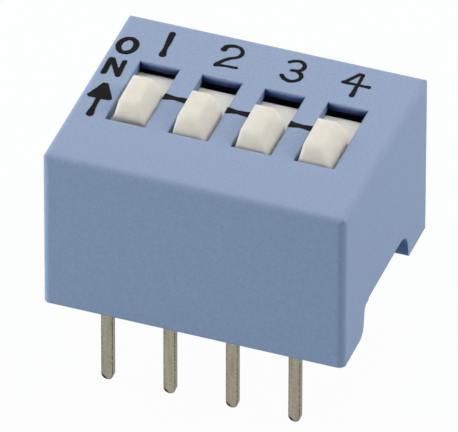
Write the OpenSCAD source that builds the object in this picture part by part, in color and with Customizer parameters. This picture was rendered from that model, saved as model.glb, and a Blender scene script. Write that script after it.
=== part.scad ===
// Four-way slide dip switch for a through-hole board, with every slider at OFF.
// X runs along the row of switches, Y towards the ON side, Z up from the board the feet stand on.

/* [Housing] */
// Length of the housing along the row
body_l = 12.2; // [11.8:0.05:13]
// Depth of the housing across the row
body_d = 9.6; // [9.5:0.05:10.5]
// Height of the housing above the board
body_h = 7.05; // [6.8:0.05:8]
// Radius of the housing's outer edges
edge_r = 0.28; // [0.1:0.02:0.45]
// Thickness of the side walls
wall_t = 0.65; // [0.5:0.05:0.7]
// Thickness of the roof between the tracks
roof_t = 1; // [0.9:0.05:1.3]
// Thickness of the roof over the tracks
web_t = 0.36; // [0.3:0.02:0.5]
// Width of the ledge inside the walls that stops the base
ledge_w = 0.2; // [0.1:0.02:0.3]

/* [Feet] */
// Height of the notch between the feet at each end
notch_h = 1.37; // [0.9:0.02:1.5]
// Width of the notch under its roof
notch_w = 4.84; // [4:0.02:5.4]
// How far each side of the notch leans out, from its roof to the board
notch_lean = 0.16; // [0:0.02:0.4]
// Radius at the root of the front feet
front_root_r = 0.45; // [0.05:0.01:0.6]
// Radius at the root of the rear feet
rear_root_r = 0.9; // [0.05:0.01:1]
// Radius at the toe of the front feet
front_toe_r = 0.5; // [0.1:0.01:0.6]
// Radius at the toe of the rear feet
rear_toe_r = 0.15; // [0.1:0.01:0.3]

/* [Slots] */
// Distance from one switch to the next
switch_pitch = 2.54; // [2.5:0.01:2.6]
// Width of a slot
slot_w = 1.62; // [1.5:0.01:1.7]
// Length of a slot
slot_l = 3.79; // [3.7:0.01:4.1]
// How far behind the middle of the housing the slots lie
slot_y = 0.035; // [-0.2:0.005:0.2]
// Radius of the round rim at the back of a slot, as a share of the roof's thickness there
rim_share = 0.53; // [0.51:0.01:0.8]

/* [Knobs] */
// Travel of a slider from its front stop to its rear stop
travel = 1.4; // [1.1:0.05:1.6]
// Room between a knob and the end of its slot at each stop
end_gap = 0.05; // [0.03:0.01:0.1]
// Height of a knob's ridge above the housing
ridge_h = 0.5; // [0.4:0.01:0.8]
// Height of a knob's back edge above the housing
back_h = 0.53; // [0.3:0.01:0.6]
// Depth of the sloping front facet
front_run = 0.54; // [0.4:0.01:0.8]
// Depth of the steep back facet
back_run = 0.12; // [0.05:0.01:0.3]
// Width of the top facet
crest_w = 0.8; // [0.6:0.01:0.9]
// How far to the left of the slider's middle the top facet lies
crest_shift = 0.25; // [0.2:0.01:0.28]
// Lean of the right flank from upright, in degrees
flank_lean = 36; // [10:0.5:45]
// Lean of the left flank from upright, in degrees
brow_lean = 3.5; // [1:0.5:5]
// Radius along the top facet's right edge
crest_r = 0.22; // [0.05:0.01:0.3]
// Radius along the top facet's left edge
brow_r = 0.08; // [0.03:0.01:0.15]
// Radius of the ridge
ridge_r = 0.6; // [0.1:0.01:0.7]
// Radius of the back edge
back_r = 0.12; // [0.03:0.01:0.15]
// Room between the knob's foot and the right wall of its slot, for a centred slider
foot_play = 0.16; // [0.15:0.01:0.25]
// Radius of the foot's back corner
tongue_r = 0.55; // [0.1:0.01:0.6]
// Radius where the right flank meets the back facet
brim_r = 0.2; // [0.05:0.01:0.3]
// Radius where the right flank meets the front facet
cheek_r = 0.2; // [0.05:0.01:0.3]
// Radius where the left flank meets the back facet
heel_r = 0.15; // [0.05:0.01:0.3]
// Radius where the left flank meets the front facet, and where the facets meet the slot
nose_r = 0.08; // [0.03:0.01:0.2]

/* [Tracks] */
// Width of the track plate under the web
plate_w = 2; // [1.9:0.01:2.06]
// Thickness of the track plate
plate_t = 0.5; // [0.4:0.02:0.6]
// How far the track plate reaches past the knob, front and back
plate_reach = 1.25; // [0.8:0.01:1.4]
// Radius of the track plate's corners
plate_r = 0.12; // [0.05:0.01:0.3]
// Room between the track plate and the web above it
lift_gap = 0.05; // [0.03:0.01:0.08]
// Room beside the track plate, to each side of a centred slider
side_play = 0.16; // [0.15:0.01:0.18]
// Room at each end of the track
track_gap = 0.1; // [0.05:0.01:0.2]
// How far to the right the first slider sits in its track
first_shift = 0.13; // [-0.13:0.01:0.13]
// How far the first slider sits back from its front stop
first_creep = 0.15; // [0:0.01:0.3]
// How far to the right the other sliders sit in theirs
other_shift = 0.03; // [-0.13:0.01:0.13]

/* [Carriages] */
// Width of the carriage under the track plate
carriage_w = 1.4; // [1.2:0.05:1.6]
// Length of the carriage
carriage_l = 2.3; // [1.8:0.05:2.6]
// Radius of the stake that holds the moving contact
stake_r = 0.22; // [0.15:0.01:0.3]
// Radius of the stake's swaged head
head_r = 0.36; // [0.32:0.01:0.45]
// Thickness of the stake's head
head_t = 0.15; // [0.1:0.01:0.25]

/* [Moving contacts] */
// Thickness of the contact strip
strip_t = 0.12; // [0.08:0.01:0.16]
// Width of the contact strip
strip_w = 1.1; // [0.9:0.05:1.3]
// Height of the moving contact
contact_h = 1.5; // [1.2:0.05:1.8]
// Distance between the two feet of a moving contact
foot_span = 1.7; // [1.6:0.02:1.8]
// Radius of a contact foot
foot_r = 0.3; // [0.25:0.01:0.35]
// Length of the flat under the carriage
flat_l = 0.95; // [0.85:0.01:1.05]
// Width of the slit that splits each foot in two
slit_w = 0.16; // [0.1:0.01:0.25]
// Length of the arm left whole above each slit
slit_root = 0.3; // [0.2:0.01:0.5]
// Room between the stake and its hole
stake_gap = 0.02; // [0.01:0.005:0.05]
// Room between the contact feet and what they slide on
wipe_gap = 0.03; // [0.02:0.005:0.05]

/* [Base] */
// Thickness of the base
base_t = 1.85; // [1.6:0.05:2]
// How far the base sits above the notch
base_lift = 0.05; // [0.02:0.01:0.2]
// Room between the base and the walls
base_gap = 0.03; // [0.01:0.01:0.06]
// Thickness of the barriers between switches
barrier_t = 0.4; // [0.3:0.02:0.6]
// Height of the barriers
barrier_h = 1.5; // [1:0.05:1.8]
// Length of the barriers
barrier_l = 5.2; // [4:0.1:6]
// Width of the latch at each end of the base
latch_w = 1.6; // [1:0.1:2.4]
// Height of a latch
latch_h = 0.6; // [0.4:0.05:0.8]
// How far a latch stands out
latch_d = 0.2; // [0.1:0.01:0.25]
// Height of the latches above the underside of the base
latch_z = 0.6; // [0.4:0.05:0.8]
// Room round a latch in its pocket
latch_gap = 0.05; // [0.02:0.01:0.1]
// Radius of the ejector marks under the base
mark_r = 0.6; // [0.4:0.05:0.9]
// Depth of the ejector marks
mark_t = 0.08; // [0.04:0.01:0.15]
// Distance between the ejector marks
mark_span = 7.62; // [5:0.01:8.5]

/* [Terminals] */
// Distance from the face of the housing to the middle of the pins behind it
pin_inset = 0.99; // [0.9:0.01:1.1]
// Length of a pin below the board
pin_drop = 3.8; // [2.8:0.05:4.5]
// Width of a pin
pin_w = 0.47; // [0.4:0.01:0.6]
// Thickness of the terminal strip
pin_t = 0.27; // [0.2:0.01:0.27]
// Width of the terminal strip inside the base
blade_w = 1; // [0.8:0.05:1.2]
// Height above the base's underside where a terminal narrows to its pin
shoulder_h = 0.4; // [0.2:0.05:0.8]
// Width of the break between a pair of fixed contacts
break_w = 0.52; // [0.45:0.01:0.6]
// How far behind the middle of the slot the break lies
break_back = 0.26; // [0.2:0.01:0.3]

/* [Hidden] */
$fn = 48;
// how far a cutter runs past what it cuts, or a boss into what carries it
over = 0.1;
// how far a rounding tool stays off the flat face beside it
skin = 0.006;
switch_count = 4;
middle = (switch_count + 1) / 2;
base_z = notch_h + base_lift;
base_top = base_z + base_t;
base_l = body_l - 2 * (wall_t + base_gap);
base_d = body_d - 2 * (wall_t + base_gap);
row_span = body_d - 2 * pin_inset;
break_y = slot_y + break_back;
roof_z = body_h - roof_t;
web_z = body_h - web_t;
plate_top = web_z - lift_gap;
plate_z = plate_top - plate_t;
knob_l = slot_l - travel - 2 * end_gap;
plate_l = knob_l + 2 * plate_reach;
track_w = plate_w + 2 * side_play;
track_l = plate_l + travel + 2 * track_gap;
feet_z = base_top + wipe_gap;
carriage_z = feet_z + contact_h;
strip_z = carriage_z - strip_t;
ridge_y = front_run - knob_l / 2;
back_y = knob_l / 2 - back_run;
crest_slope = atan((ridge_h - back_h) / (back_y - ridge_y));

// where a switch stands along the row, and where its slider sits within the play of its track
function switch_x(i) = (i - middle) * switch_pitch;
function slider_x(i) = switch_x(i) + (i == 1 ? first_shift : other_shift);
function slider_y(i) = slot_y - travel / 2 + (i == 1 ? first_creep : 0);

// a corner q between its neighbours p and n: its half angle, where a rounding starts, and its centre
function unit(a, b) = (b - a) / norm(b - a);
function half_angle(p, q, n) = acos(unit(q, p) * unit(q, n)) / 2;
function set_back(p, q, n, r) = r / tan(half_angle(p, q, n));
function round_centre(p, q, n, r) =
    q + unit([0, 0], unit(q, p) + unit(q, n)) * r / sin(half_angle(p, q, n));

// a direction as seen along an axis, and the normal of a flank that leans by an angle beside the crest
function into(axis, v) =
    let (
        turn = atan2(axis.y, axis.x),
        tip = acos(axis.z),
        level = [v.x * cos(turn) + v.y * sin(turn), v.y * cos(turn) - v.x * sin(turn)]
    ) [level.x * cos(tip) - v.z * sin(tip), level.y];
function leaning(angle) = [cos(angle), sin(angle) * sin(crest_slope), sin(angle) * cos(crest_slope)];

// a convex outline with each corner rounded by its own radius
module rounded(points, radii) {
    last = len(points) - 1;
    before = [for (i = [0:last]) points[i == 0 ? last : i - 1]];
    after = [for (i = [0:last]) points[i == last ? 0 : i + 1]];
    starts = [for (i = [0:last]) set_back(before[i], points[i], after[i], radii[i])];
    polygon([for (i = [0:last]) each radii[i] == 0 ? [points[i]] : [
        points[i] + unit(points[i], before[i]) * starts[i],
        points[i] + unit(points[i], after[i]) * starts[i]
    ]]);
    for (i = [0:last])
        if (radii[i] > 0)
            translate(round_centre(before[i], points[i], after[i], radii[i]))
                circle(radii[i]);
}

// a rectangle about the origin with the same radius at each corner
module rounded_rectangle(l, d, r) {
    rounded([[-l, -d] / 2, [l, -d] / 2, [l, d] / 2, [-l, d] / 2], [r, r, r, r]);
}

// outlines seen from the right, and from the front, stood up and given a width about the middle
module from_right(width) {
    rotate([90, 0, 90]) linear_extrude(width, center = true) children();
}
module from_front(width) {
    rotate([90, 0, 0]) linear_extrude(width, center = true) children();
}

// a block on the board with round upright edges and a round rim to its top
module soft_block(l, d, h, r) {
    intersection() {
        linear_extrude(h) rounded_rectangle(l, d, r);
        from_right(l) rounded([[-d / 2, 0], [d / 2, 0], [d / 2, h], [-d / 2, h]], [0, 0, r, r]);
        from_front(d) rounded([[-l / 2, 0], [l / 2, 0], [l / 2, h], [-l / 2, h]], [0, 0, r, r]);
    }
}

// the space between the feet, seen from the end, with rounded roots and toes
module notch_outline() {
    root = [notch_w / 2, notch_h];
    heel = [notch_w / 2 + notch_lean, 0];
    low = unit(root, heel) * over;
    rounded(
        [heel + low, root, [-root.x, root.y], [-heel.x, 0] + [-low.x, low.y]],
        [0, rear_root_r, front_root_r, 0]
    );
    toe_outline(root, heel, rear_toe_r);
    mirror([1, 0]) toe_outline(root, heel, front_toe_r);
}

// what the rounding of a toe takes away between the side of the notch and the board
module toe_outline(root, heel, r) {
    toe = [heel.x + wall_t, 0];
    start = set_back(root, heel, toe, r);
    difference() {
        polygon([
            heel + unit(heel, root) * start, [root.x, -over],
            [heel.x + start, -over], [heel.x + start, 0]
        ]);
        translate(round_centre(root, heel, toe, r)) circle(r);
    }
}

// a latch at each end of the base, or with some room the pocket for it in the end wall
module latches(room) {
    foot = base_z + latch_z - room;
    tip = foot + latch_h + 2 * room;
    rise = room > 0 ? [latch_d + room, tip] : [0, tip];
    for (s = [0, 1]) mirror([s, 0, 0])
        translate([base_l / 2, 0, 0]) from_front(latch_w + 2 * room)
            polygon([[-over, foot], [latch_d + room, foot], rise, [-over, tip]]);
}

// the opening of a slot seen from the end, with a round rim at its back
module slot_outline() {
    rim_r = rim_share * web_t;
    difference() {
        translate([-slot_l / 2, web_z - over]) square([slot_l + rim_r, web_t + 2 * over]);
        translate([slot_l / 2 + rim_r, web_z + web_t / 2]) circle(rim_r);
    }
}

// the open shell: walls, roof, slots with their tracks, and the feet at each end
module housing() {
    upper = [body_l, body_d] - 2 * (wall_t + ledge_w) * [1, 1];
    lower = [body_l, body_d] - 2 * wall_t * [1, 1];
    color("#93a6c6") difference() {
        soft_block(body_l, body_d, body_h, edge_r);
        translate([0, 0, -over]) linear_extrude(base_top + over) square(lower, center = true);
        linear_extrude(roof_z) square(upper, center = true);
        for (i = [1:switch_count]) translate([switch_x(i), slot_y, 0]) {
            linear_extrude(web_z) square([track_w, track_l], center = true);
            from_right(slot_w) slot_outline();
        }
        from_right(body_l + 2 * over) notch_outline();
        latches(latch_gap);
    }
}

// the room that a terminal takes in the base, for the rear row
module terminal_seat(reach) {
    inner = (row_span - pin_t) / 2;
    translate([-blade_w / 2, reach, base_top - pin_t])
        cube([blade_w, inner + pin_t - reach, pin_t + over]);
    translate([-blade_w / 2, inner, base_z + shoulder_h]) cube([blade_w, pin_t, base_t]);
    translate([-pin_w / 2, inner, base_z - over]) cube([pin_w, pin_t, base_t]);
}

// the moulded floor that carries the terminals, with a barrier between neighbours
module base() {
    color("#3b3f47") {
        difference() {
            translate([0, 0, base_z]) linear_extrude(base_t) square([base_l, base_d], center = true);
            for (i = [1:switch_count]) translate([switch_x(i), 0, 0]) {
                terminal_seat(break_y + break_w / 2);
                mirror([0, 1, 0]) terminal_seat(break_w / 2 - break_y);
            }
            for (s = [-1, 1])
                translate([s * mark_span / 2, 0, base_z - over]) cylinder(mark_t + over, mark_r, mark_r);
        }
        for (i = [1:switch_count - 1])
            translate([switch_x(i + 0.5) - barrier_t / 2, -barrier_l / 2, base_top - over])
                cube([barrier_t, barrier_l, barrier_h + over]);
        latches(0);
    }
}

// all that lies behind two faces, each given by its normal and a point of it, whose shared edge is rounded
module rounded_edge(a, b, r) {
    along = unit([0, 0, 0], cross(a[0], b[0]));
    across = [cross(b[0], along), cross(along, a[0])];
    foot = (a[0] * a[1] * across[0] + b[0] * b[1] * across[1]) / (a[0] * across[0]);
    m = into(along, a[0]);
    n = into(along, b[0]);
    corner = (m + n) * skin / (1 + m * n);
    side_a = unit(n, m * (m * n)) * 2 * slot_l;
    side_b = unit(m, n * (m * n)) * 2 * slot_l;
    translate(foot) rotate([0, acos(along.z), atan2(along.y, along.x)])
        linear_extrude(4 * slot_l, center = true)
            rounded([corner + side_a, corner, corner + side_b, corner + side_a + side_b], [0, r, 0, 0]);
}

// the knob: a side view, a section along the crest and a plan cut each other; leaning edges are rounded
module knob() {
    sunk = plate_top - over - body_h;
    deep = 2 * sunk - ridge_h;
    right = crest_w / 2 - crest_shift;
    left = -crest_w / 2 - crest_shift;
    front_face = [unit([0, 0, 0], [0, -ridge_h, front_run]), [0, -knob_l / 2, 0]];
    back_face = [unit([0, 0, 0], [0, back_h, back_run]), [0, knob_l / 2, 0]];
    right_face = [leaning(flank_lean), [right, ridge_y, ridge_h]];
    left_face = [leaning(180 - brow_lean), [left, ridge_y, ridge_h]];
    translate([0, 0, body_h]) intersection() {
        from_right(4 * crest_w) rounded(
            [
                [-knob_l / 2, sunk], [knob_l / 2, sunk], [knob_l / 2, 0],
                [back_y, back_h], [ridge_y, ridge_h], [-knob_l / 2, 0]
            ],
            [0, 0, nose_r, back_r, ridge_r, nose_r]
        );
        translate([0, ridge_y, ridge_h]) rotate([-crest_slope, 0, 0]) from_front(3 * knob_l) rounded(
            [
                [left + deep * tan(brow_lean), deep], [right - deep * tan(flank_lean), deep],
                [right, 0], [left, 0]
            ],
            [0, 0, crest_r, brow_r]
        );
        translate([0, 0, sunk - over]) linear_extrude(back_h + ridge_h - sunk) rounded(
            [
                [-slot_l, -slot_l], [slot_w / 2 - foot_play, -slot_l],
                [slot_w / 2 - foot_play, knob_l / 2 + skin], [-slot_l, knob_l / 2 + skin]
            ],
            [0, 0, tongue_r, 0]
        );
        rounded_edge(right_face, back_face, brim_r);
        rounded_edge(right_face, front_face, cheek_r);
        rounded_edge(left_face, back_face, heel_r);
        rounded_edge(left_face, front_face, nose_r);
    }
}

// a slider: knob, track plate, carriage and the stake through its moving contact
module actuator(i) {
    color("#e4dfd2") translate([slider_x(i), slider_y(i), 0]) {
        knob();
        translate([0, 0, plate_z]) linear_extrude(plate_t) rounded_rectangle(plate_w, plate_l, plate_r);
        translate([0, 0, carriage_z]) linear_extrude(plate_z + over - carriage_z)
            square([carriage_w, carriage_l], center = true);
        translate([0, 0, strip_z - head_t]) {
            cylinder(head_t, head_r, head_r);
            cylinder(head_t + strip_t + over, stake_r, stake_r);
        }
    }
}

// a strip of the given thickness between two points, with round ends
module strip(a, b, t) {
    translate(a) rotate(atan2(b.y - a.y, b.x - a.x)) translate([0, -t / 2]) square([norm(b - a), t]);
    translate(a) circle(t / 2);
    translate(b) circle(t / 2);
}

// the bent spring strip seen from the end: a flat, two arms and two curled feet
module contact_outline() {
    translate([-flat_l / 2, strip_z]) square([flat_l, strip_t]);
    foot = [foot_span / 2, feet_z + foot_r];
    bend = [foot_r - strip_t / 2, 0];
    for (s = [0, 1]) mirror([s, 0]) {
        strip([flat_l / 2, strip_z + strip_t / 2], foot - bend, strip_t);
        difference() {
            translate(foot) circle(foot_r);
            translate(foot) circle(foot_r - strip_t);
            translate(foot - [2 * foot_r, 0]) square([4 * foot_r, 2 * foot_r]);
        }
        translate(foot + bend) circle(strip_t / 2);
    }
}

// a moving contact, with each foot split so that it touches twice
module contact(i) {
    slit_h = strip_z - slit_root - feet_z;
    hole_r = stake_r + stake_gap;
    color("#c9a54e") translate([slider_x(i), slider_y(i), 0]) difference() {
        from_right(strip_w) contact_outline();
        translate([0, 0, strip_z - over]) cylinder(strip_t + 2 * over, hole_r, hole_r);
        translate([-slit_w / 2, -foot_span, feet_z - over]) cube([slit_w, 2 * foot_span, slit_h + over]);
    }
}

// a terminal of the rear row: pin with a round tip, shoulder, bend and fixed contact blade
module terminal(reach) {
    inner = (row_span - pin_t) / 2;
    bend_z = base_top - pin_t;
    shoulder_z = base_z + shoulder_h;
    tip_z = pin_w / 2 - pin_drop;
    color("#a39e92") {
        from_right(blade_w) {
            translate([reach, bend_z]) square([inner - reach, pin_t]);
            translate([inner, shoulder_z]) square([pin_t, bend_z - shoulder_z]);
            intersection() {
                translate([inner, bend_z]) circle(pin_t);
                translate([inner, bend_z]) square(pin_t);
            }
        }
        translate([0, row_span / 2, 0]) from_front(pin_t) {
            translate([-pin_w / 2, tip_z]) square([pin_w, shoulder_z - tip_z]);
            translate([0, tip_z]) circle(pin_w / 2);
        }
    }
}

// terminals of the two rows, by the number of their switch
module terminal_rear(i) {
    translate([switch_x(i), 0, 0]) terminal(break_y + break_w / 2);
}
module terminal_front(i) {
    translate([switch_x(i), 0, 0]) mirror([0, 1, 0]) terminal(break_w / 2 - break_y);
}

housing();
base();
actuator(1);  // actuator_1
actuator(2);  // actuator_2
actuator(3);  // actuator_3
actuator(4);  // actuator_4
contact(1);  // contact_1
contact(2);  // contact_2
contact(3);  // contact_3
contact(4);  // contact_4
terminal_front(1);  // terminal_front_1
terminal_front(2);  // terminal_front_2
terminal_front(3);  // terminal_front_3
terminal_front(4);  // terminal_front_4
terminal_rear(1);  // terminal_rear_1
terminal_rear(2);  // terminal_rear_2
terminal_rear(3);  // terminal_rear_3
terminal_rear(4);  // terminal_rear_4
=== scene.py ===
"""Looks of a four-way slide dip switch: studio, finishes and printed marks on its CAD solids."""

import logging
import math
from dataclasses import dataclass
from enum import Enum
from typing import Any

import bmesh
import bpy
import numpy as np
from mathutils import Matrix, Vector


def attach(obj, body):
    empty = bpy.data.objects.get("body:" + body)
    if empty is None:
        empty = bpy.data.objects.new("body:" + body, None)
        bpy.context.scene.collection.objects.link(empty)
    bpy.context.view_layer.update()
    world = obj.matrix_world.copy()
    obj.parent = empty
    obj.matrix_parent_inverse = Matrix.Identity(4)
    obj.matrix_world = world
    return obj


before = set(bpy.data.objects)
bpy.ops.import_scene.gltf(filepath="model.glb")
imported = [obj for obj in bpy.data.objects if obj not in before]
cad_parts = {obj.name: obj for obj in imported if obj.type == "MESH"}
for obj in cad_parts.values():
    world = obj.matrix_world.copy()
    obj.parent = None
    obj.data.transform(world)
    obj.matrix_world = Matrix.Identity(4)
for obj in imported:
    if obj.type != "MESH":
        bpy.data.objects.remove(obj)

LOG = logging.getLogger("dip_switch")
MM = 0.001
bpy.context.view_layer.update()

WHITE = (1.0, 1.0, 1.0, 1.0)
# A distance past all others, and a length of almost nothing that keeps a division safe.
FAR = 1e9
TINY = 1e-12

# Sockets of a colour Mix node, by number because their names repeat.
MIX_SHARE, MIX_FROM, MIX_TO, MIX_COLOUR = 0, 6, 7, 2
# Rays with which a shader rounds an edge, rounds a sheared rim and measures a recess for its
# painted shade.
EDGE_SAMPLES = 6
RIM_SAMPLES = 8
SHADE_SAMPLES = 16
# Layers of ever finer noise in the patterns.
FINE_DETAIL = 2.0
MOTTLE_DETAIL = 3.0
PATCH_DETAIL = 4.0
# The middle of the noise, which makes the mottling.
MOTTLE_SPREAD = {"From Min": 0.35, "From Max": 0.65}
# The share of open sky where the painted shade of a recess starts, with the colour to the power 1
# as on open skin, and the share where the painted shade is full, as in a slot.
PAINTED_SHADE_SKY = {"From Min": 0.97, "From Max": 0.62, "To Min": 1.0}
# The middle of the sum of two noises, which makes the plating dull in places.
DULL_SPREAD = {"From Min": 0.75, "From Max": 1.25}
# How far a rounded normal turns from the flat one at a rim, as a cosine.
RIM_TURN = {"From Min": 0.98, "From Max": 0.88}
# How the specks break the dark line along a rim.
TORN_SPREAD = {"From Min": 0.35, "From Max": 0.6, "To Min": 0.1, "To Max": 1.0}
# How far a rounded normal leans left and down where shade is painted at the lower left of a tip.
SHADE_LEAN_LEFT = {"From Min": -0.04, "From Max": -0.1}
SHADE_LEAN_DOWN = {"From Min": -0.06, "From Max": -0.14}
# The high part of the noise, where the ink is thin.
THIN_SPREAD = {"From Min": 0.45, "From Max": 0.75}

# Waves that make the edge of the print wander: turns along x and along y, and the start.
EDGE_WAVES = ((21, 9, 0), (-13, 27, 2))
# Lower and upper edge of a printed bar at its left end, waist and right end.
BAR_LOWER_MM = (0.04, 0.15, 0.08)
BAR_UPPER_MM = (0.4, 0.33, 0.38)
BAR_ROUND_MM = 0.02


class Kind(Enum):
    """How the names of the CAD nodes of each kind start."""

    HOUSING = "housing"
    BASE = "base"
    SLIDER = "actuator"
    CONTACT = "contact"
    TERMINAL = "terminal"


def linear(code: str) -> tuple[float, float, float, float]:
    """Turns an sRGB hex colour into linear light.

    Args:
        code: the colour as six hex digits after a hash sign.

    Returns:
        Linear red, green and blue, and an alpha of 1.
    """
    shares = [int(code[i : i + 2], 16) / 255 for i in (1, 3, 5)]
    return (*(c / 12.92 if c <= 0.04045 else ((c + 0.055) / 1.055) ** 2.4 for c in shares), 1.0)


def add_node(
    tree: bpy.types.NodeTree,
    kind: str,
    settings: dict[str | int, Any] | None = None,
    links: dict[str | int, bpy.types.NodeSocket] | None = None,
) -> bpy.types.Node:
    """Adds a node with its settings and its incoming links.

    Args:
        tree: the node tree that gets the node.
        kind: the node's type name.
        settings: values by input name, input number or node property.
        links: output sockets by the input that each one feeds.

    Returns:
        The new node.
    """
    node = tree.nodes.new(kind)
    sockets: dict[str | int, Any] = {}
    for key, value in (settings or {}).items():
        if isinstance(key, int) or key in node.inputs:
            sockets[key] = value
        else:
            setattr(node, key, value)
    for key, value in sockets.items():
        node.inputs[key].default_value = value
    for key, source in (links or {}).items():
        tree.links.new(source, node.inputs[key])
    return node


def empty_material(name: str) -> tuple[bpy.types.Material, bpy.types.NodeTree]:
    """Makes a material with an empty node tree.

    Args:
        name: the finish's own name.

    Returns:
        The material and its tree.
    """
    material = bpy.data.materials.new(name)
    material.use_nodes = True
    material.node_tree.nodes.clear()
    return material, material.node_tree


def per_metre(size_mm: float) -> float:
    """Gives the texture scale at which a pattern's features are about a size in millimetres."""
    return 1.0 / (size_mm * MM)


@dataclass(frozen=True)
class MouldedPlastic:
    """A moulded plastic with a matt tool texture and faint mottling.

    Attributes:
        name: the material and how it was made.
        colour: its main colour.
        flow_colour: the tint of its mottling.
        roughness: of the satin or matt skin.
        ior: refractive index.
        grain_mm: size of the grain that the tool's spark-eroded surface leaves.
        grain_depth_mm: depth of that grain.
        mottle_mm: size of the mottling.
        edge_mm: radius that the tool leaves on edges too fine for the solid.
        glow_mm: depth to which light enters, or 0 for an opaque filled plastic.
        glow_weight: share of the light that enters.
        glow_reach: how far red, green and blue light get, as shares of that depth.
        recess_shade_mm: reach within which the piece's own walls bring painted shade into a recess,
            or 0 for none.
        recess_shade_power: power to which the colour is raised, as painted shade, at the bottom of
            a recess.
        side_shade_power: the same on walls that face a pale slider, where the painted shade is
            lighter.
        gloss_spread: how far the grain makes the roughness vary.
        specular: strength of the skin's shine.
    """

    name: str
    colour: str
    flow_colour: str
    roughness: float
    ior: float
    grain_mm: float
    grain_depth_mm: float
    mottle_mm: float
    edge_mm: float
    glow_mm: float = 0.0
    glow_weight: float = 0.65
    glow_reach: tuple[float, float, float] = (1.0, 0.85, 0.65)
    recess_shade_mm: float = 0.0
    recess_shade_power: float = 1.0
    side_shade_power: float = 1.0
    gloss_spread: float = 0.06
    specular: float = 0.25

    def material(self) -> bpy.types.Material:
        """Builds the finish.

        Returns:
            The material.
        """
        material, tree = empty_material(self.name)
        place = add_node(tree, "ShaderNodeTexCoord").outputs["Object"]
        mottle = add_node(
            tree,
            "ShaderNodeTexNoise",
            {"Scale": per_metre(self.mottle_mm), "Detail": MOTTLE_DETAIL},
            {"Vector": place},
        )
        spread = add_node(
            tree, "ShaderNodeMapRange", MOTTLE_SPREAD, {"Value": mottle.outputs["Fac"]}
        )
        mixed = add_node(
            tree,
            "ShaderNodeMix",
            {"data_type": "RGBA", MIX_FROM: linear(self.colour), MIX_TO: linear(self.flow_colour)},
            {MIX_SHARE: spread.outputs["Result"]},
        )
        colour = mixed.outputs[MIX_COLOUR]
        # Paints shade into the colour where the piece's own walls close in.
        if self.recess_shade_mm:
            colour = self.paint_recess_shade(tree, colour)
        grain = add_node(
            tree,
            "ShaderNodeTexNoise",
            {"Scale": per_metre(self.grain_mm), "Detail": FINE_DETAIL},
            {"Vector": place},
        )
        gloss = add_node(
            tree,
            "ShaderNodeMapRange",
            {
                "To Min": self.roughness - self.gloss_spread,
                "To Max": self.roughness + self.gloss_spread,
            },
            {"Value": grain.outputs["Fac"]},
        )
        edge = add_node(
            tree, "ShaderNodeBevel", {"samples": EDGE_SAMPLES, "Radius": self.edge_mm * MM}
        )
        bump = add_node(
            tree,
            "ShaderNodeBump",
            {"Strength": 1.0, "Distance": self.grain_depth_mm * MM},
            {"Height": grain.outputs["Fac"], "Normal": edge.outputs["Normal"]},
        )
        skin = add_node(
            tree,
            "ShaderNodeBsdfPrincipled",
            {"IOR": self.ior, "Specular IOR Level": self.specular},
            {
                "Base Color": colour,
                "Roughness": gloss.outputs["Result"],
                "Normal": bump.outputs["Normal"],
            },
        )
        if self.glow_mm:
            skin.inputs["Subsurface Weight"].default_value = self.glow_weight
            skin.inputs["Subsurface Radius"].default_value = self.glow_reach
            skin.inputs["Subsurface Scale"].default_value = self.glow_mm * MM
        add_node(tree, "ShaderNodeOutputMaterial", links={"Surface": skin.outputs["BSDF"]})
        return material

    def paint_recess_shade(
        self, tree: bpy.types.NodeTree, colour: bpy.types.NodeSocket
    ) -> bpy.types.NodeSocket:
        """Deepens the colour where the piece's own walls close in.

        This is painted shade: the colour is raised to a power that grows as the walls hide more of
        the sky, a saturated blue that falls to navy. A side wall of a slot faces a pale slider, so
        its painted shade is lighter.

        Args:
            tree: the finish's node tree.
            colour: the open skin's colour.

        Returns:
            The deepened colour.
        """
        hidden = add_node(
            tree,
            "ShaderNodeAmbientOcclusion",
            {"samples": SHADE_SAMPLES, "only_local": True, "Distance": self.recess_shade_mm * MM},
        )
        facing = add_node(tree, "ShaderNodeTexCoord").outputs["Normal"]
        across = add_node(tree, "ShaderNodeSeparateXYZ", links={"Vector": facing})
        aside = add_node(
            tree, "ShaderNodeMath", {"operation": "ABSOLUTE"}, {0: across.outputs["X"]}
        )
        full_shade_power = add_node(
            tree,
            "ShaderNodeMapRange",
            {"To Min": self.recess_shade_power, "To Max": self.side_shade_power},
            {"Value": aside.outputs["Value"]},
        )
        shade_power = add_node(
            tree,
            "ShaderNodeMapRange",
            PAINTED_SHADE_SKY,
            {"Value": hidden.outputs["AO"], "To Max": full_shade_power.outputs["Result"]},
        )
        # Painted shade: the colour raised to a power that grows with the occlusion.
        painted_shade = add_node(
            tree, "ShaderNodeGamma", links={"Color": colour, "Gamma": shade_power.outputs["Result"]}
        )
        return painted_shade.outputs["Color"]


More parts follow.
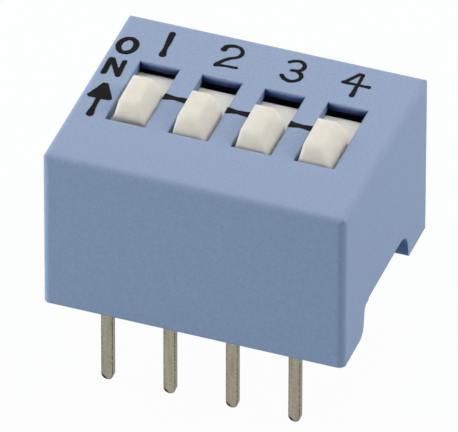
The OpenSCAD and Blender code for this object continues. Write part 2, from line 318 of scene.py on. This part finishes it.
@dataclass(frozen=True)
class RolledStrip:
    """A rolled and plated metal strip with faint streaks along its length and torn dark rims.

    Attributes:
        name: the material and how it was made.
        colour: the plated face.
        dull_colour: the streaks where the plating is thin or dull.
        sheared_colour: the sides where the press cut the strip.
        rim_and_shade_colour: the broken dark line along each cut, and the painted shade at the
            lower left of the tip.
        roughness: of the plated face.
        streak_mm: width of the rolling streaks.
        speck_mm: size of the specks in the plating.
        rim_mm: width of the rim that the press rolled over.
        left_under_shade_mm: width of the painted shade where the edges face left and down, at the
            lower left of the tip.
        streak_shape: the streaks' width as a share of their length, along z.
        texture_mm: height of the streaks and specks.
        gloss_spread: how far the roughness falls on bright plating and rises on dull.
    """

    name: str
    colour: str
    dull_colour: str
    sheared_colour: str
    rim_and_shade_colour: str
    roughness: float
    streak_mm: float
    speck_mm: float
    rim_mm: float
    left_under_shade_mm: float
    streak_shape: float = 0.1
    texture_mm: float = 0.002
    gloss_spread: tuple[float, float] = (-0.08, 0.12)

    def material(self) -> bpy.types.Material:
        """Builds the finish.

        Returns:
            The material.
        """
        material, tree = empty_material(self.name)
        place = add_node(tree, "ShaderNodeTexCoord").outputs["Object"]
        drawn = add_node(
            tree, "ShaderNodeMapping", {"Scale": (1.0, 1.0, self.streak_shape)}, {"Vector": place}
        )
        streaks = add_node(
            tree,
            "ShaderNodeTexNoise",
            {"Scale": per_metre(self.streak_mm), "Detail": FINE_DETAIL},
            {"Vector": drawn.outputs["Vector"]},
        )
        specks = add_node(
            tree,
            "ShaderNodeTexNoise",
            {"Scale": per_metre(self.speck_mm), "Detail": FINE_DETAIL},
            {"Vector": place},
        )
        both = add_node(
            tree,
            "ShaderNodeMath",
            {"operation": "ADD"},
            {0: streaks.outputs["Fac"], 1: specks.outputs["Fac"]},
        )
        dull = add_node(tree, "ShaderNodeMapRange", DULL_SPREAD, {"Value": both.outputs["Value"]})
        face = add_node(
            tree,
            "ShaderNodeMix",
            {"data_type": "RGBA", MIX_FROM: linear(self.colour), MIX_TO: linear(self.dull_colour)},
            {MIX_SHARE: dull.outputs["Result"]},
        )
        edge = add_node(
            tree, "ShaderNodeBevel", {"samples": RIM_SAMPLES, "Radius": self.rim_mm * MM}
        )
        rounded = edge.outputs["Normal"]
        colour = self.cut(tree, face.outputs[MIX_COLOUR], specks.outputs["Fac"], rounded)
        smooth, rough = (self.roughness + change for change in self.gloss_spread)
        gloss = add_node(
            tree,
            "ShaderNodeMapRange",
            {"To Min": smooth, "To Max": rough},
            {"Value": dull.outputs["Result"]},
        )
        bump = add_node(
            tree,
            "ShaderNodeBump",
            {"Strength": 1.0, "Distance": self.texture_mm * MM},
            {"Height": both.outputs["Value"], "Normal": rounded},
        )
        skin = add_node(
            tree,
            "ShaderNodeBsdfPrincipled",
            {"Metallic": 1.0},
            {
                "Base Color": colour,
                "Roughness": gloss.outputs["Result"],
                "Normal": bump.outputs["Normal"],
            },
        )
        add_node(tree, "ShaderNodeOutputMaterial", links={"Surface": skin.outputs["BSDF"]})
        return material

    def cut(
        self,
        tree: bpy.types.NodeTree,
        face: bpy.types.NodeSocket,
        specks: bpy.types.NodeSocket,
        rounded: bpy.types.NodeSocket,
    ) -> bpy.types.NodeSocket:
        """Colours what the press left, sheared sides and torn rims, and paints shade at the lower
        left of the tip.

        Args:
            tree: the finish's node tree.
            face: the plated face's colour.
            specks: the noise that breaks the rims.
            rounded: the normal with its rims rounded.

        Returns:
            The colour of the whole strip.
        """
        flat = add_node(tree, "ShaderNodeNewGeometry").outputs["True Normal"]
        sides = add_node(tree, "ShaderNodeSeparateXYZ", links={"Vector": flat})
        aside = add_node(tree, "ShaderNodeMath", {"operation": "ABSOLUTE"}, {0: sides.outputs["X"]})
        sheared = add_node(
            tree,
            "ShaderNodeMix",
            {"data_type": "RGBA", MIX_TO: linear(self.sheared_colour)},
            {MIX_SHARE: aside.outputs["Value"], MIX_FROM: face},
        )
        turn = add_node(
            tree, "ShaderNodeVectorMath", {"operation": "DOT_PRODUCT"}, {0: rounded, 1: flat}
        )
        rim = add_node(tree, "ShaderNodeMapRange", RIM_TURN, {"Value": turn.outputs["Value"]})
        torn = add_node(tree, "ShaderNodeMapRange", TORN_SPREAD, {"Value": specks})
        line = add_node(
            tree,
            "ShaderNodeMath",
            {"operation": "MULTIPLY"},
            {0: rim.outputs["Result"], 1: torn.outputs["Result"]},
        )
        # Painted shade where the rounded normal leans left and down, at the lower left of the tip.
        bent = add_node(
            tree, "ShaderNodeBevel", {"samples": RIM_SAMPLES, "Radius": self.left_under_shade_mm * MM}
        )
        lean = add_node(tree, "ShaderNodeSeparateXYZ", links={"Vector": bent.outputs["Normal"]})
        left = add_node(tree, "ShaderNodeMapRange", SHADE_LEAN_LEFT, {"Value": lean.outputs["X"]})
        down = add_node(tree, "ShaderNodeMapRange", SHADE_LEAN_DOWN, {"Value": lean.outputs["Z"]})
        left_under_shade = add_node(
            tree,
            "ShaderNodeMath",
            {"operation": "MULTIPLY"},
            {0: left.outputs["Result"], 1: down.outputs["Result"]},
        )
        dark = add_node(
            tree,
            "ShaderNodeMath",
            {"operation": "MAXIMUM"},
            {0: line.outputs["Value"], 1: left_under_shade.outputs["Value"]},
        )
        whole = add_node(
            tree,
            "ShaderNodeMix",
            {"data_type": "RGBA", MIX_TO: linear(self.rim_and_shade_colour)},
            {MIX_SHARE: dark.outputs["Value"], MIX_FROM: sheared.outputs[MIX_COLOUR]},
        )
        return whole.outputs[MIX_COLOUR]


@dataclass(frozen=True)
class PadPrintedInk:
    """A dry film of pad-printed ink, thin in places so that the plastic tints it.

    Attributes:
        name: the material and how it was laid.
        colour: the full film.
        thin_colour: where the film is thin.
        roughness: of the dry film.
        patch_mm: size of the thin patches.
        patch_depth_mm: how much lower the film lies there.
        relief: how strongly that shows.
        ior: refractive index.
        specular: strength of the film's shine.
    """

    name: str
    colour: str
    thin_colour: str
    roughness: float
    patch_mm: float
    patch_depth_mm: float = 0.003
    relief: float = 0.6
    ior: float = 1.48
    specular: float = 0.12

    def material(self) -> bpy.types.Material:
        """Builds the finish.

        Returns:
            The material.
        """
        material, tree = empty_material(self.name)
        place = add_node(tree, "ShaderNodeTexCoord").outputs["Object"]
        patches = add_node(
            tree,
            "ShaderNodeTexNoise",
            {"Scale": per_metre(self.patch_mm), "Detail": PATCH_DETAIL},
            {"Vector": place},
        )
        thin = add_node(tree, "ShaderNodeMapRange", THIN_SPREAD, {"Value": patches.outputs["Fac"]})
        colour = add_node(
            tree,
            "ShaderNodeMix",
            {"data_type": "RGBA", MIX_FROM: linear(self.colour), MIX_TO: linear(self.thin_colour)},
            {MIX_SHARE: thin.outputs["Result"]},
        )
        bump = add_node(
            tree,
            "ShaderNodeBump",
            {"Strength": self.relief, "Distance": self.patch_depth_mm * MM},
            {"Height": patches.outputs["Fac"]},
        )
        film = add_node(
            tree,
            "ShaderNodeBsdfPrincipled",
            {"Roughness": self.roughness, "IOR": self.ior, "Specular IOR Level": self.specular},
            {"Base Color": colour.outputs[MIX_COLOUR], "Normal": bump.outputs["Normal"]},
        )
        add_node(tree, "ShaderNodeOutputMaterial", links={"Surface": film.outputs["BSDF"]})
        return material


# Glass-filled polyester from a spark-eroded tool: an even, dull, slightly dusty blue-grey skin
# with a fine grain, and painted shade that falls to navy in the slots. The grain and the mottling
# are drawn coarser than the real ones, which are too fine to show.
HOUSING_POLYESTER = MouldedPlastic(
    name="moulded_polyester_blue_grey",
    colour="#90A3C5",
    flow_colour="#98AACB",
    roughness=0.6,
    ior=1.55,
    grain_mm=0.09,
    grain_depth_mm=0.003,
    mottle_mm=0.11,
    edge_mm=0.15,
    recess_shade_mm=2.0,
    recess_shade_power=5.5,
    side_shade_power=2.0,
)
# Natural acetal from a smoother tool: warm white and satin. Light enters a little way, so that
# facets blend softly and narrow gaps glow.
SLIDER_ACETAL = MouldedPlastic(
    name="moulded_acetal_warm_white",
    colour="#E9E5DD",
    flow_colour="#E5E0D8",
    roughness=0.48,
    ior=1.48,
    grain_mm=0.07,
    grain_depth_mm=0.002,
    mottle_mm=0.5,
    edge_mm=0.25,
    glow_mm=1.0,
)
# Glass-filled nylon, coloured through: near black, with paler fibres at the skin.
BASE_NYLON = MouldedPlastic(
    name="moulded_filled_nylon_black",
    colour="#23262B",
    flow_colour="#2E3137",
    roughness=0.55,
    ior=1.53,
    grain_mm=0.1,
    grain_depth_mm=0.004,
    mottle_mm=0.6,
    edge_mm=0.05,
)
# Brass strip with dull tin dipped on before stamping: soft grey shine, faint streaks along
# the pin, specks drawn coarser than real ones, a torn dark line along each sheared edge, and
# painted shade at the lower left of the tip.
TINNED_BRASS = RolledStrip(
    name="stamped_tinned_brass_strip",
    colour="#9D998B",
    dull_colour="#858071",
    sheared_colour="#8A8675",
    rim_and_shade_colour="#2C281E",
    roughness=0.45,
    streak_mm=0.14,
    speck_mm=0.09,
    rim_mm=0.09,
    left_under_shade_mm=0.22,
)
# Phosphor bronze spring strip under a gold flash: warm yellow with fine rolling streaks.
GOLD_FLASHED_BRONZE = RolledStrip(
    name="rolled_gold_flashed_bronze_strip",
    colour="#E0B860",
    dull_colour="#C99D4C",
    sheared_colour="#A9743F",
    rim_and_shade_colour="#7A5230",
    roughness=0.3,
    streak_mm=0.08,
    speck_mm=0.06,
    rim_mm=0.03,
    # A narrow painted shade where the strip's edges face left and down.
    left_under_shade_mm=0.05,
)
# Pad-printed black ink: matt, with thin patches that let the blue through.
MARKING_INK = PadPrintedInk(
    name="pad_printed_ink_black",
    colour="#050404",
    thin_colour="#1A1614",
    roughness=0.75,
    patch_mm=0.3,
)


@dataclass(frozen=True)
class Lamp:
    """A round soft lamp that faces the switch.

    Attributes:
        name: the lamp's name.
        towards: direction from the switch to the lamp.
        share: light on a surface that faces it, where 1 shows a colour as written.
        tint: the lamp's colour.
        radius_mm: the lamp's radius.
        far_mm: its distance.
    """

    name: str
    towards: tuple[float, float, float]
    share: float
    tint: str
    radius_mm: float
    far_mm: float = 160.0

    def build(self) -> None:
        """Hangs the lamp."""
        data = bpy.data.lights.new(self.name, "AREA")
        data.shape = "DISK"
        data.size = 2 * self.radius_mm * MM
        data.energy = self.share * math.pi**2 * (self.radius_mm**2 + self.far_mm**2) * MM**2
        data.color = linear(self.tint)[:3]
        lamp = bpy.data.objects.new(self.name, data)
        way = Vector(self.towards).normalized()
        lamp.location = way * self.far_mm * MM
        lamp.rotation_euler = way.to_track_quat("Z", "Y").to_euler()
        bpy.context.scene.collection.objects.link(lamp)


SOFTBOX_MM = 50.0
CARD_MM = 7.0
# Softboxes light the switch from above. Low cards light its sides and can't reach into its slots.
LAMPS = (
    Lamp("right_softbox", (0.74, 0.36, 0.56), 0.45, "#FFFAF2", SOFTBOX_MM),
    Lamp("left_softbox", (-0.79, -0.05, 0.61), 0.5, "#FFFDFA", SOFTBOX_MM),
    Lamp("top_softbox", (0.0, 0.45, 0.89), 0.31, "#FFFDFA", SOFTBOX_MM),
    Lamp("front_card", (-0.35, -0.94, 0.02), 0.31, "#FFFBEE", CARD_MM),
    Lamp("right_card", (0.95, 0.3, 0.02), 0.12, "#FFE8D8", CARD_MM),
    Lamp("left_card", (-0.98, -0.15, 0.02), 0.24, "#F2F8FF", CARD_MM),
)


@dataclass
class Studio:
    """The floor, the light and the camera.

    Attributes:
        width_px: width of the picture.
        focal_px: focal length in pixels.
        sensor_mm: width of the camera's sensor.
        clip_m: nearest and farthest distance that the camera sees.
        azimuth_deg: how far to the right of the front the camera stands.
        elevation_deg: how far above the board it stands.
        roll_deg: how far it is turned about its own axis.
        place_mm: the camera's place along its own right, up and back.
        floor_z_mm: height of the floor, under the tips of the pins.
        floor_half_mm: half the floor's width.
        fill_colour: the room's light.
        paper_colour: the light that the floor gives back to the switch.
        white_share: how much of the floor is seen as white, so that the rest keeps the shadow.
    """

    width_px: float = 458.0
    focal_px: float = 13765.0
    sensor_mm: float = 36.0
    clip_m: tuple[float, float] = (0.01, 20.0)
    azimuth_deg: float = 19.893
    elevation_deg: float = 37.652
    roll_deg: float = 0.097
    place_mm: tuple[float, float, float] = (-0.2558, 1.7822, 527.6)
    floor_z_mm: float = -3.8
    floor_half_mm: float = 600.0
    fill_colour: str = "#505354"
    paper_colour: str = "#A2C2D6"
    white_share: float = 0.97

    def build(self) -> None:
        """Makes the camera, the lamps, the world and the floor."""
        self.camera()
        for lamp in LAMPS:
            lamp.build()
        self.world()
        self.floor()

    def camera(self) -> None:
        """Places the camera at the photograph's angle."""
        angles = (self.azimuth_deg, self.elevation_deg, self.roll_deg)
        az, el, roll = (math.radians(angle) for angle in angles)
        back = Vector((math.sin(az) * math.cos(el), -math.cos(az) * math.cos(el), math.sin(el)))
        flat_right = Vector((math.cos(az), math.sin(az), 0.0))
        flat_up = back.cross(flat_right)
        right = math.cos(roll) * flat_right + math.sin(roll) * flat_up
        up = math.cos(roll) * flat_up - math.sin(roll) * flat_right
        turn = Matrix((right, up, back)).transposed()
        data = bpy.data.cameras.new("camera")
        data.sensor_width = self.sensor_mm
        data.lens = self.sensor_mm * self.focal_px / self.width_px
        data.clip_start, data.clip_end = self.clip_m
        camera = bpy.data.objects.new("camera", data)
        camera.matrix_world = Matrix.Translation(turn @ Vector(self.place_mm) * MM) @ turn.to_4x4()
        bpy.context.scene.collection.objects.link(camera)
        bpy.context.scene.camera = camera

    def world(self) -> None:
        """Fills the room with faint cool light, and shows it white behind the switch."""
        world = bpy.data.worlds.new("studio_room")
        world.use_nodes = True
        tree = world.node_tree
        tree.nodes.clear()
        fill = add_node(
            tree, "ShaderNodeBackground", {"Color": linear(self.fill_colour), "Strength": 1.0}
        )
        white = add_node(tree, "ShaderNodeBackground", {"Color": WHITE, "Strength": 1.0})
        mixed = add_node(
            tree,
            "ShaderNodeMixShader",
            links={
                0: self.seen(tree),
                1: fill.outputs["Background"],
                2: white.outputs["Background"],
            },
        )
        add_node(tree, "ShaderNodeOutputWorld", links={"Surface": mixed.outputs["Shader"]})
        bpy.context.scene.world = world

    def seen(self, tree: bpy.types.NodeTree) -> bpy.types.NodeSocket:
        """Tells the rays that show the background from those that only light things.

        Args:
            tree: the node tree of the world or the floor.

        Returns:
            A socket that is 1 for camera, glossy and transmission rays, else 0.
        """
        path = add_node(tree, "ShaderNodeLightPath").outputs
        shine = add_node(
            tree,
            "ShaderNodeMath",
            {"operation": "MAXIMUM"},
            {0: path["Is Glossy Ray"], 1: path["Is Transmission Ray"]},
        )
        both = add_node(
            tree,
            "ShaderNodeMath",
            {"operation": "MAXIMUM"},
            {0: path["Is Camera Ray"], 1: shine.outputs["Value"]},
        )
        return both.outputs["Value"]

    def floor(self) -> None:
        """Lays a pale floor that looks nearly white and still keeps the switch's shadow."""
        half, z = self.floor_half_mm * MM, self.floor_z_mm * MM
        corners = [(-half, -half, z), (half, -half, z), (half, half, z), (-half, half, z)]
        mesh = bpy.data.meshes.new("studio_floor")
        mesh.from_pydata(corners, [], [(0, 1, 2, 3)])
        # Matt paper: seen as an even near white with a soft shadow, it gives a cool light back.
        material, tree = empty_material("matt_paper_white")
        paper = add_node(tree, "ShaderNodeBsdfDiffuse", {"Color": linear(self.paper_colour)})
        white = add_node(tree, "ShaderNodeEmission", {"Color": WHITE, "Strength": 1.0})
        share = add_node(
            tree,
            "ShaderNodeMath",
            {"operation": "MULTIPLY", 1: self.white_share},
            {0: self.seen(tree)},
        )
        mixed = add_node(
            tree,
            "ShaderNodeMixShader",
            links={
                0: share.outputs["Value"],
                1: paper.outputs["BSDF"],
                2: white.outputs["Emission"],
            },
        )
        add_node(tree, "ShaderNodeOutputMaterial", links={"Surface": mixed.outputs["Shader"]})
        mesh.materials.append(material)
        floor = bpy.data.objects.new("studio_floor", mesh)
        bpy.context.scene.collection.objects.link(floor)


@dataclass
class DressedNodes:
    """CAD nodes that share one finish.

    Attributes:
        kind: which nodes these are.
        finish: what they are made of.
    """

    kind: Kind
    finish: MouldedPlastic | RolledStrip

    def dress(self) -> list[str]:
        """Gives the nodes their finish.

        Returns:
            The names of the nodes.
        """
        material = self.finish.material()
        names = [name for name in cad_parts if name.startswith(self.kind.value)]
        for name in names:
            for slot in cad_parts[name].material_slots:
                slot.material = material
        return names


@dataclass(frozen=True)
class Stroke:
    """A pen stroke of the print.

    Attributes:
        points: places on the top face and the stroke's width there, in millimetres.
    """

    points: tuple[tuple[float, float, float], ...]

    def smooth(self, steps: int = 8) -> np.ndarray:
        """Runs a smooth curve through the stroke's points.

        Args:
            steps: pieces between two points.

        Returns:
            Rows of x, y and width along the curve.
        """
        knots = np.array(self.points)
        if len(knots) < 3:
            return knots
        padded = np.vstack([2 * knots[0] - knots[1], knots, 2 * knots[-1] - knots[-2]])
        rows = []
        for a, b, c, d in zip(padded, padded[1:], padded[2:], padded[3:]):
            bend, twist = 2 * a - 5 * b + 4 * c - d, 3 * b - a - 3 * c + d
            for t in np.arange(steps) / steps:
                rows.append(0.5 * (2 * b + (c - a) * t + bend * t**2 + twist * t**3))
        return np.array([*rows, knots[-1]])

    def reach(self, x: np.ndarray, y: np.ndarray) -> np.ndarray:
        """Measures how far points lie outside the stroke's edge.

        Args:
            x: the points' places along the row.
            y: the points' places across it.

        Returns:
            Distances in millimetres, below 0 inside the stroke.
        """
        path = self.smooth()
        nearest = np.full(x.shape, FAR)
        for (ax, ay, aw), (bx, by, bw) in zip(path, path[1:]):
            ex, ey = bx - ax, by - ay
            t = np.clip(((x - ax) * ex + (y - ay) * ey) / (ex * ex + ey * ey + TINY), 0, 1)
            gap = np.hypot(x - ax - t * ex, y - ay - t * ey) - (aw + t * (bw - aw)) / 2
            nearest = np.minimum(nearest, gap)
        return nearest

    def box(self) -> np.ndarray:
        """Gives the lowest and highest corner of the stroke."""
        p = np.array(self.points)
        return np.array([p[:, :2].min(0) - p[:, 2].max(), p[:, :2].max(0) + p[:, 2].max()])


@dataclass(frozen=True)
class Patch:
    """A filled shape of the print.

    Attributes:
        points: its corners in order, in millimetres on the top face.
        round_mm: how far the ink rounds each corner.
    """

    points: tuple[tuple[float, float], ...]
    round_mm: float

    def reach(self, x: np.ndarray, y: np.ndarray) -> np.ndarray:
        """Measures how far points lie outside the shape's edge.

        Args:
            x: the points' places along the row.
            y: the points' places across it.

        Returns:
            Distances in millimetres, below 0 inside the shape.
        """
        nearest = np.full(x.shape, FAR)
        inside = np.zeros(x.shape, bool)
        corners = self.points
        for (ax, ay), (bx, by) in zip(corners, corners[1:] + corners[:1]):
            ex, ey = bx - ax, by - ay
            t = np.clip(((x - ax) * ex + (y - ay) * ey) / (ex * ex + ey * ey), 0, 1)
            nearest = np.minimum(nearest, np.hypot(x - ax - t * ex, y - ay - t * ey))
            crosses = (ay > y) != (by > y)
            inside ^= crosses & (x < ax + (y - ay) * ex / (ey if ey else TINY))
        return np.where(inside, -nearest, nearest) - self.round_mm

    def box(self) -> np.ndarray:
        """Gives the lowest and highest corner of the shape."""
        p = np.array(self.points)
        return np.array([p.min(0) - self.round_mm, p.max(0) + self.round_mm])


@dataclass
class PrintedMark:
    """One mark of the print, laid as a thin film on the housing's top.

    Attributes:
        name: the piece's name.
        shapes: the strokes and filled shapes that make it.
        top_mm: height of the housing's top face.
        film_mm: thickness of the ink.
        sink_mm: how far the film's underside lies in the face, so that no light gets under it.
        step_mm: spacing of the points that trace the edge.
        ragged_mm: how far the edge wanders.
        flat_deg: turn below which neighbouring faces and edges are joined.
    """

    name: str
    shapes: tuple[Stroke | Patch, ...]
    top_mm: float = 7.05
    film_mm: float = 0.012
    sink_mm: float = 0.002
    step_mm: float = 0.02
    ragged_mm: float = 0.008
    flat_deg: float = 2.0

    def build(self, material: bpy.types.Material) -> bpy.types.Object:
        """Traces the mark's edge, fills it and gives it the film's thickness.

        Args:
            material: the ink.

        Returns:
            The mark, riding on the housing's body.
        """
        bm = bmesh.new()
        for group in self.apart():
            self.fill(bm, group)
        flat = math.radians(self.flat_deg)
        bmesh.ops.dissolve_limit(bm, angle_limit=flat, verts=bm.verts, edges=bm.edges)
        raised = bmesh.ops.extrude_face_region(bm, geom=bm.faces[:])
        up = [v for v in raised["geom"] if isinstance(v, bmesh.types.BMVert)]
        bmesh.ops.translate(bm, verts=up, vec=(0, 0, (self.film_mm + self.sink_mm) * MM))
        bmesh.ops.recalc_face_normals(bm, faces=bm.faces)
        mesh = bpy.data.meshes.new(self.name)
        bm.to_mesh(mesh)
        bm.free()
        mesh.materials.append(material)
        mark = bpy.data.objects.new(self.name, mesh)
        bpy.context.scene.collection.objects.link(mark)
        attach(mark, "frame")
        return mark

    def apart(self) -> list[list[Stroke | Patch]]:
        """Sorts the shapes into groups whose boxes touch.

        Returns:
            The groups, each to be traced on its own.
        """
        groups: list[list[Stroke | Patch]] = []
        for shape in self.shapes:
            low, high = shape.box()
            near = [
                group
                for group in groups
                if any(
                    np.all(other.box()[0] < high) and np.all(other.box()[1] > low)
                    for other in group
                )
            ]
            groups = [g for g in groups if g not in near] + [[shape, *(s for g in near for s in g)]]
        return groups

    def fill(self, bm: bmesh.types.BMesh, group: list[Stroke | Patch]) -> None:
        """Fills the area inside a group's joined edge.

        Args:
            bm: the mesh that gets the faces.
            group: shapes that touch.
        """
        margin = 2 * self.step_mm
        low = np.min([s.box()[0] for s in group], axis=0) - margin
        high = np.max([s.box()[1] for s in group], axis=0) + margin
        across, along = (np.arange(low[k], high[k] + self.step_mm, self.step_mm) for k in (0, 1))
        x, y = np.meshgrid(across, along, indexing="ij")
        gap = np.min([s.reach(x, y) for s in group], axis=0)
        waves = sum(np.sin(a * x + b * y + start) for a, b, start in EDGE_WAVES)
        gap = gap + self.ragged_mm * waves / len(EDGE_WAVES)
        verts: dict[tuple[int, ...], bmesh.types.BMVert] = {}

        def vert(a: tuple[int, int], b: tuple[int, int]) -> bmesh.types.BMVert:
            """Finds or makes the point of the edge between two grid points.

            Args:
                a: one grid point.
                b: its neighbour, or the same point again for the point itself.

            Returns:
                The point of the mesh.
            """
            a, b = min(a, b), max(a, b)
            if (*a, *b) not in verts:
                t = 0.0 if a == b else gap[a] / (gap[a] - gap[b])
                px, py = (g[a] + t * (g[b] - g[a]) for g in (x, y))
                under = (self.top_mm - self.sink_mm) * MM
                verts[(*a, *b)] = bm.verts.new((px * MM, py * MM, under))
            return verts[(*a, *b)]

        for i in range(len(across) - 1):
            for j in range(len(along) - 1):
                ring = [(i, j), (i + 1, j), (i + 1, j + 1), (i, j + 1)]
                face = []
                for a, b in zip(ring, ring[1:] + ring[:1]):
                    if gap[a] < 0:
                        face.append(vert(a, a))
                    if (gap[a] < 0) != (gap[b] < 0):
                        face.append(vert(a, b))
                if len(face) > 2:
                    bm.faces.new(face)


def oval(
    x: float,
    y: float,
    half_w: float,
    half_h: float,
    width_x: float,
    width_y: float,
    pieces: int = 16,
) -> Stroke:
    """Draws a closed oval as one stroke.

    Args:
        x: its middle along the row.
        y: its middle across it.
        half_w: half width to the middle of the stroke.
        half_h: half height to the middle of the stroke.
        width_x: stroke width at the sides.
        width_y: stroke width at the top and bottom.
        pieces: how many points it runs through.

    Returns:
        The stroke.
    """
    turns = [2 * math.pi * k / pieces for k in range(pieces + 1)]
    return Stroke(
        tuple(
            (
                x + half_w * math.cos(a),
                y + half_h * math.sin(a),
                width_x * math.cos(a) ** 2 + width_y * math.sin(a) ** 2,
            )
            for a in turns
        )
    )


def bow_bar(left: float, right: float) -> Patch:
    """Draws the bar between two slots, with its waist in the middle.

    Args:
        left: edge of the slot on its left.
        right: edge of the slot on its right.

    Returns:
        The bar.
    """
    across = (left, (left + right) / 2, right)
    lower = tuple(zip(across, BAR_LOWER_MM))
    upper = tuple(zip(across, BAR_UPPER_MM))
    return Patch((*lower, *upper[::-1]), BAR_ROUND_MM)


@dataclass
class Print:
    """All that is printed on the top face: the numbers, the word, the arrow and the bars.

    Attributes:
        ink: what it is printed with.
    """

    ink: PadPrintedInk

    def marks(self) -> list[PrintedMark]:
        """Lays out the marks.

        Returns:
            The marks, one for each kind.
        """
        one = (
            Stroke(
                ((-4.05, 4.05, 0.25), (-4.02, 3.6, 0.25), (-3.99, 3.1, 0.18), (-3.96, 2.68, 0.3))
            ),
        )
        two = (
            Stroke(
                (
                    (-1.86, 3.8, 0.26),
                    (-1.83, 3.98, 0.22),
                    (-1.7, 4.08, 0.2),
                    (-1.5, 4.13, 0.17),
                    (-1.3, 4.08, 0.15),
                    (-1.15, 3.92, 0.15),
                    (-1.11, 3.72, 0.17),
                    (-1.2, 3.5, 0.16),
                    (-1.45, 3.33, 0.17),
                    (-1.65, 3.12, 0.17),
                    (-1.78, 2.9, 0.2),
                    (-1.83, 2.77, 0.2),
                )
            ),
            Stroke(((-1.83, 2.78, 0.18), (-1.4, 2.83, 0.13), (-1.03, 2.85, 0.15))),
        )
        three = (
            Stroke(
                (
                    (0.77, 3.9, 0.16),
                    (0.92, 4.02, 0.16),
                    (1.15, 4.07, 0.16),
                    (1.33, 3.98, 0.16),
                    (1.42, 3.75, 0.17),
                    (1.35, 3.55, 0.17),
                    (1.22, 3.48, 0.16),
                    (1.02, 3.44, 0.16),
                )
            ),
            Stroke(
                (
                    (1.2, 3.47, 0.16),
                    (1.42, 3.32, 0.18),
                    (1.5, 3.1, 0.17),
                    (1.42, 2.9, 0.17),
                    (1.2, 2.77, 0.18),
                    (0.95, 2.83, 0.18),
                    (0.76, 3.02, 0.18),
                )
            ),
        )
        four = (
            Stroke(((3.55, 4.07, 0.16), (3.17, 3.45, 0.16))),
            Stroke(((3.55, 4.07, 0.16), (3.7, 4.08, 0.14))),
            Stroke(((3.7, 4.08, 0.14), (3.7, 3.4, 0.14), (3.7, 2.72, 0.22))),
            Stroke(((3.12, 3.42, 0.18), (3.7, 3.42, 0.13), (4.15, 3.42, 0.18))),
        )
        word = (
            oval(-5.42, 2.765, 0.33, 0.4575, 0.24, 0.215),
            Stroke(((-5.71, 1.77, 0.22), (-5.69, 0.87, 0.24))),
            Stroke(((-5.64, 1.76, 0.22), (-5.12, 0.88, 0.22))),
            Stroke(((-5.16, 1.77, 0.2), (-5.11, 0.85, 0.2))),
        )
        head = (
            (-5.42, 0.2),
            (-5.3, 0.2),
            (-4.86, -0.6),
            (-4.9, -0.68),
            (-5.68, -0.7),
            (-5.74, -0.64),
        )
        arrow = (
            Patch(head, round_mm=0.06),
            Stroke(((-5.3, -0.7, 0.2), (-5.29, -1.3, 0.2), (-5.27, -1.76, 0.32))),
        )
        bars = (bow_bar(-3.0, -2.11), bow_bar(-0.46, 0.43), bow_bar(2.08, 2.97))
        return [
            PrintedMark("print_digits", (*one, *two, *three, *four)),
            PrintedMark("print_on", word),
            PrintedMark("print_arrow", arrow),
            PrintedMark("print_bars", bars),
        ]

    def build(self) -> list[str]:
        """Builds the marks.

        Returns:
            The names of the pieces.
        """
        material = self.ink.material()
        return [mark.build(material).name for mark in self.marks()]


def main() -> None:
    """Builds the studio, dresses the CAD nodes and prints the marks."""
    logging.basicConfig(level=logging.INFO, format="%(message)s")
    bpy.context.scene.view_settings.view_transform = "Standard"
    Studio().build()
    dressed = (
        DressedNodes(Kind.HOUSING, HOUSING_POLYESTER),
        DressedNodes(Kind.BASE, BASE_NYLON),
        DressedNodes(Kind.SLIDER, SLIDER_ACETAL),
        DressedNodes(Kind.CONTACT, GOLD_FLASHED_BRONZE),
        DressedNodes(Kind.TERMINAL, TINNED_BRASS),
    )
    for group in dressed:
        LOG.info("%s: %s", group.finish.name, ", ".join(group.dress()))
    for name in Print(MARKING_INK).build():
        LOG.info("%s: %s", MARKING_INK.name, name)


if __name__ == "__main__":
    main()
